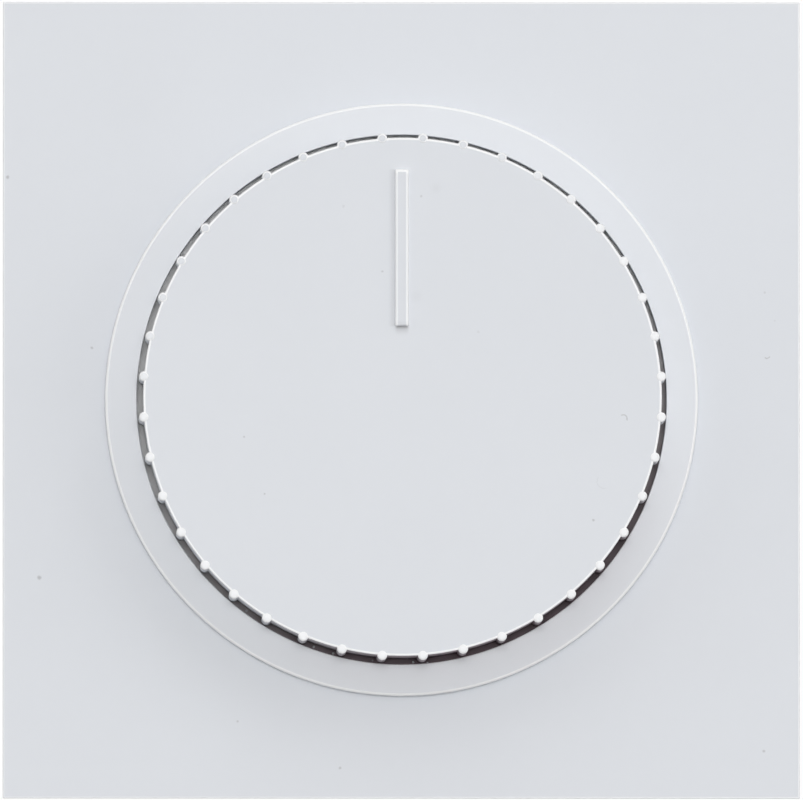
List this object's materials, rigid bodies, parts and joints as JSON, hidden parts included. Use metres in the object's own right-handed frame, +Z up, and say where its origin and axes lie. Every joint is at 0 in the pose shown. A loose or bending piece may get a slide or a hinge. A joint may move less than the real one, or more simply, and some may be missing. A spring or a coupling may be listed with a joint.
{
  "type": "rotary dimmer switch",
  "caption": "Wall-box dimmer: square white plate with a round collar and a ribbed knob with a pointer bar, which turns to dim and pushes to switch, over a steel ring with claws and an insert",
  "frame": {"origin": "where the knob's axis meets the wall's plane, which is the back face of the support ring", "axes": "+Z up, +X to the right seen from the room, +Y into the wall, so the knob faces -Y"},
  "size_m": [0.07, 0.0435, 0.07],
  "materials": {
    "white_plastic": "satin moulded white",
    "grey_plastic": "moulded grey",
    "black_plastic": "moulded black",
    "red_plastic": "moulded red",
    "yellow_plastic": "moulded yellow case",
    "blue_coating": "dipped blue coating",
    "beige_coating": "beige lacquer",
    "green_board": "laminate with green resist",
    "brown_board": "brown laminate",
    "zinc_sheet": "zinc-coated steel sheet",
    "plated_steel": "plated steel",
    "spring_steel": "bare spring steel",
    "turned_aluminium": "turned",
    "sheet_aluminium": "rolled sheet",
    "contact_brass": "bright brass",
    "copper_wire": "enamelled copper wire",
    "ferrite": "dark grey ferrite"
  },
  "bodies": {
    "base": {"centre_plate": "white_plastic", "plate_nut": "plated_steel", "support_ring": "zinc_sheet", "front_cover": "grey_plastic", "cover_screws": "plated_steel", "housing": "grey_plastic", "claw_pins": "plated_steel", "pot_bush": "plated_steel", "pot_can": "zinc_sheet", "track_wafer": "brown_board", "pot_pins": "contact_brass", "switch_housing": "black_plastic", "switch_base": "black_plastic", "switch_spring": "spring_steel", "switch_pins": "contact_brass", "circuit_board": "green_board", "heat_sink": "sheet_aluminium", "power_transistors": "black_plastic", "transistor_screws": "plated_steel", "choke_core": "ferrite", "choke_winding": "copper_wire", "suppression_capacitor": "yellow_plastic", "supply_capacitor": "black_plastic", "varistor": "blue_coating", "resistors": "beige_coating", "control_chip": "black_plastic", "terminal_block": "grey_plastic", "terminal_cages": "contact_brass", "terminal_screws": "plated_steel"},
    "rotor": {"wiper_rotor": "black_plastic", "wiper_contact": "contact_brass"},
    "knob_and_shaft": {"knob": "white_plastic", "knob_clip": "spring_steel", "shaft": "turned_aluminium"},
    "plunger": {"switch_plunger": "red_plastic", "contact_bridge": "contact_brass"},
    "left_screw": {"left_claw_screw": "plated_steel"},
    "left_nut": {"left_claw_nut": "plated_steel"},
    "left_lever": {"left_claw": "zinc_sheet"},
    "right_screw": {"right_claw_screw": "plated_steel"},
    "right_nut": {"right_claw_nut": "plated_steel"},
    "right_lever": {"right_claw": "zinc_sheet"}
  },
  "joints": [
    {"name": "knob_turn", "type": "hinge", "parent": "base", "child": "rotor", "pos_m": [0, 0, 0], "axis": [0, 1, 0], "range_deg": [-135, 135]},
    {"name": "knob_push", "type": "slide", "parent": "rotor", "child": "knob_and_shaft", "axis": [0, 1, 0], "range_m": [0, 0.0012], "stiffness_N_per_m": 1250, "springref_m": -0.0016},
    {"name": "plunger_push", "type": "slide", "parent": "base", "child": "plunger", "axis": [0, 1, 0], "range_m": [0, 0.0012], "deforming": ["switch_spring"]},
    {"name": "left_claw_drive", "type": "hinge", "parent": "base", "child": "left_screw", "pos_m": [-0.0218, 0, 0], "axis": [0, 1, 0], "range_deg": [0, 789]},
    {"name": "left_nut_travel", "type": "slide", "parent": "base", "child": "left_nut", "axis": [0, -1, 0], "range_m": [0, 0.0011]},
    {"name": "left_claw_swing", "type": "hinge", "parent": "base", "child": "left_lever", "pos_m": [-0.0184, 0.005, 0], "axis": [0, 0, 1], "range_deg": [0, 20]},
    {"name": "right_claw_drive", "type": "hinge", "parent": "base", "child": "right_screw", "pos_m": [0.0218, 0, 0], "axis": [0, 1, 0], "range_deg": [0, 789]},
    {"name": "right_nut_travel", "type": "slide", "parent": "base", "child": "right_nut", "axis": [0, -1, 0], "range_m": [0, 0.0011]},
    {"name": "right_claw_swing", "type": "hinge", "parent": "base", "child": "right_lever", "pos_m": [0.0184, 0.005, 0], "axis": [0, 0, -1], "range_deg": [0, 20]}
  ],
  "couplings": [
    {"joint": "plunger_push", "follows": "knob_push", "ratio": 1},
    {"joint": "left_claw_drive", "follows": "left_nut_travel", "rad_per_m": 12566},
    {"joint": "left_claw_swing", "follows": "left_nut_travel", "rad_per_m": 318.54},
    {"joint": "right_claw_drive", "follows": "right_nut_travel", "rad_per_m": 12566},
    {"joint": "right_claw_swing", "follows": "right_nut_travel", "rad_per_m": 318.54}
  ]
}
